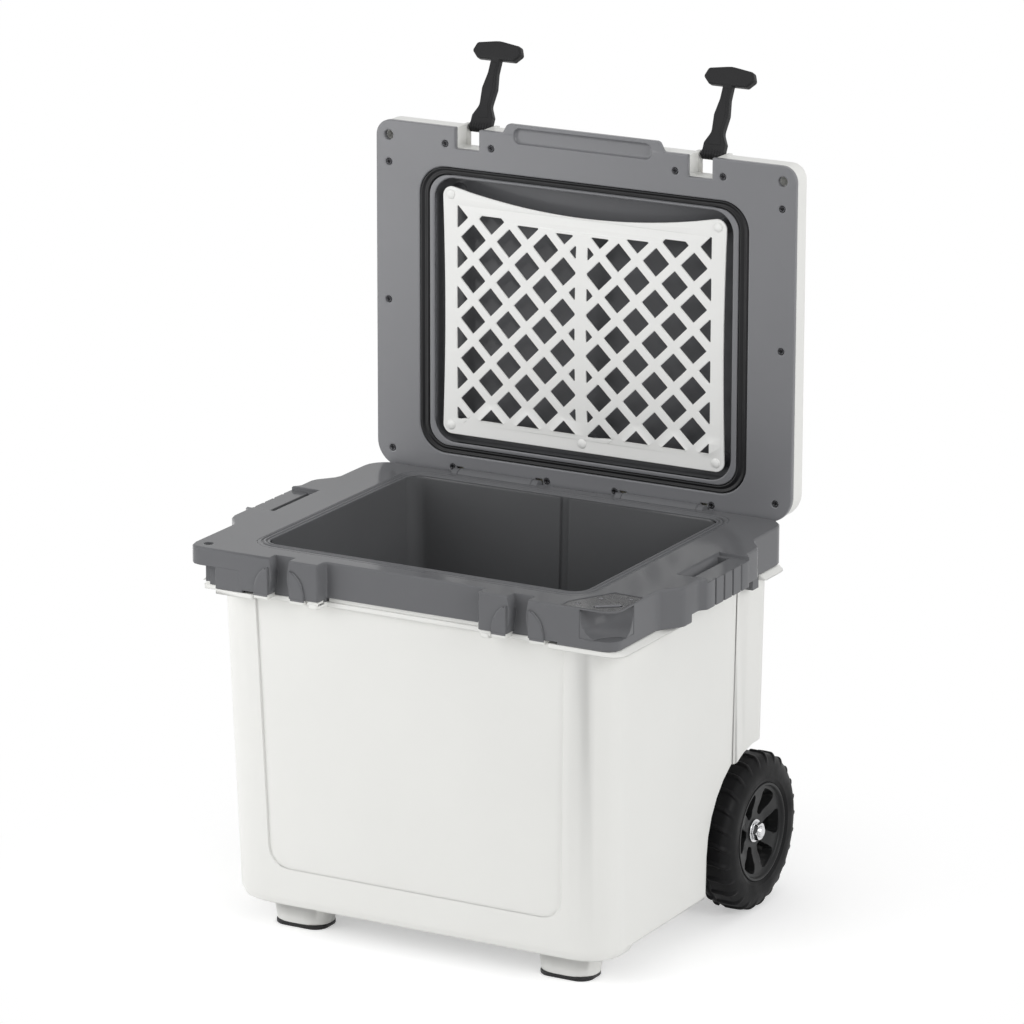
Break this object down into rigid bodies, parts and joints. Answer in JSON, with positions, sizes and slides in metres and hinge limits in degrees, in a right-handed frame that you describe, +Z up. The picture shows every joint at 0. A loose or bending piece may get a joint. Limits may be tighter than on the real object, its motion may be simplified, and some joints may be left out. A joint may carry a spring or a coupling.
{
  "type": "wheeled cooler",
  "caption": "Hard-sided cooler box on wheels with an upright hinged lid, rubber T latches, lattice lid net, side grips, bottle opener and telescoping pull handle.",
  "frame": {"origin": "middle of the footprint, on the ground, under the bounding box with the lid open and the handle pushed down", "axes": "+Z up, -Y toward the front with the latches, +X toward the side with the bottle opener"},
  "size_m": [0.57, 0.489, 0.9149],
  "materials": {
    "white_shell": "satin white",
    "grey_plastic": "satin mid grey",
    "liner_plastic": "satin dark grey",
    "net_plastic": "soft white",
    "black_plastic": "matte black",
    "button_plastic": "satin mid grey",
    "black_rubber": "matte dark grey",
    "tyre_rubber": "matte black",
    "stainless": "brushed",
    "screw_steel": "blackened",
    "tube_aluminium": "satin",
    "foam": "rough cream"
  },
  "bodies": {
    "base": {"outer_shell": "white_shell", "body_foam": "foam", "inner_liner": "liner_plastic", "rim_collar": "grey_plastic", "opener_plate": "stainless", "opener_rivet_front": "stainless", "opener_rivet_middle": "stainless", "opener_rivet_rear": "stainless", "hinge_pin_left": "stainless", "hinge_pin_right": "stainless", "foot_pad_left": "black_rubber", "foot_pad_right": "black_rubber", "axle_rod": "stainless", "axle_washer_left": "stainless", "axle_washer_right": "stainless", "axle_nut_left": "stainless", "axle_nut_right": "stainless", "handle_mount_top": "black_plastic", "handle_mount_low": "black_plastic", "mount_screw_top": "stainless", "mount_screw_low": "stainless", "handle_outer_tube_left": "tube_aluminium", "handle_outer_tube_right": "tube_aluminium", "drain_body": "black_plastic"},
    "lid": {"lid_panel": "grey_plastic", "lid_shell": "white_shell", "lid_foam": "foam", "lid_gasket": "black_rubber", "lid_net": "net_plastic", "lid_screw_01": "screw_steel", "lid_screw_02": "screw_steel", "lid_screw_03": "screw_steel", "lid_screw_04": "screw_steel", "lid_screw_05": "screw_steel", "lid_screw_06": "screw_steel", "lid_screw_07": "screw_steel", "lid_screw_08": "screw_steel", "lid_screw_09": "screw_steel", "lid_screw_10": "screw_steel", "lid_screw_11": "screw_steel", "lid_screw_12": "screw_steel", "lid_screw_13": "screw_steel", "lid_screw_14": "screw_steel", "latch_pin_left": "stainless", "latch_pin_right": "stainless"},
    "latch_left": {"latch_left": "black_rubber"},
    "latch_right": {"latch_right": "black_rubber"},
    "wheel_left": {"wheel_tyre_left": "tyre_rubber", "wheel_hub_left": "black_plastic"},
    "wheel_right": {"wheel_tyre_right": "tyre_rubber", "wheel_hub_right": "black_plastic"},
    "handle_mid": {"handle_mid_tube_left": "tube_aluminium", "handle_mid_tube_right": "tube_aluminium"},
    "handle_top": {"handle_inner_tube_left": "tube_aluminium", "handle_inner_tube_right": "tube_aluminium", "handle_grip": "black_plastic", "button_spring": "stainless"},
    "grip_button": {"release_button": "button_plastic"},
    "drain_closure": {"drain_plug": "black_plastic", "drain_seal": "black_rubber"}
  },
  "joints": [
    {"name": "lid_hinge", "type": "hinge", "parent": "base", "child": "lid", "pos_m": [0, 0.1565, 0.432], "axis": [1, 0, 0], "range_deg": [0, 90]},
    {"name": "latch_left_hinge", "type": "hinge", "parent": "lid", "child": "latch_left", "pos_m": [-0.1445, 0.1945, 0.825], "axis": [1, 0, 0], "range_deg": [0, 117]},
    {"name": "latch_right_hinge", "type": "hinge", "parent": "lid", "child": "latch_right", "pos_m": [0.1445, 0.1945, 0.825], "axis": [1, 0, 0], "range_deg": [0, 117]},
    {"name": "wheel_left_spin", "type": "hinge", "parent": "base", "child": "wheel_left", "pos_m": [-0.2305, 0.1235, 0.0889], "axis": [1, 0, 0], "continuous": true},
    {"name": "wheel_right_spin", "type": "hinge", "parent": "base", "child": "wheel_right", "pos_m": [0.2305, 0.1235, 0.0889], "axis": [1, 0, 0], "continuous": true},
    {"name": "handle_mid_slide", "type": "slide", "parent": "base", "child": "handle_mid", "axis": [0, 0, 1], "range_m": [0, 0.27]},
    {"name": "handle_top_slide", "type": "slide", "parent": "handle_mid", "child": "handle_top", "axis": [0, 0, 1], "range_m": [0, 0.27]},
    {"name": "release_button_press", "type": "slide", "parent": "handle_top", "child": "grip_button", "axis": [0, 0, -1], "range_m": [0, 0.003], "stiffness_N_per_m": 300, "springref_m": -0.003, "deforming": ["button_spring"]},
    {"name": "drain_plug_pull", "type": "slide", "parent": "base", "child": "drain_closure", "axis": [-1, 0, 0], "range_m": [0, 0.03]}
  ]
}
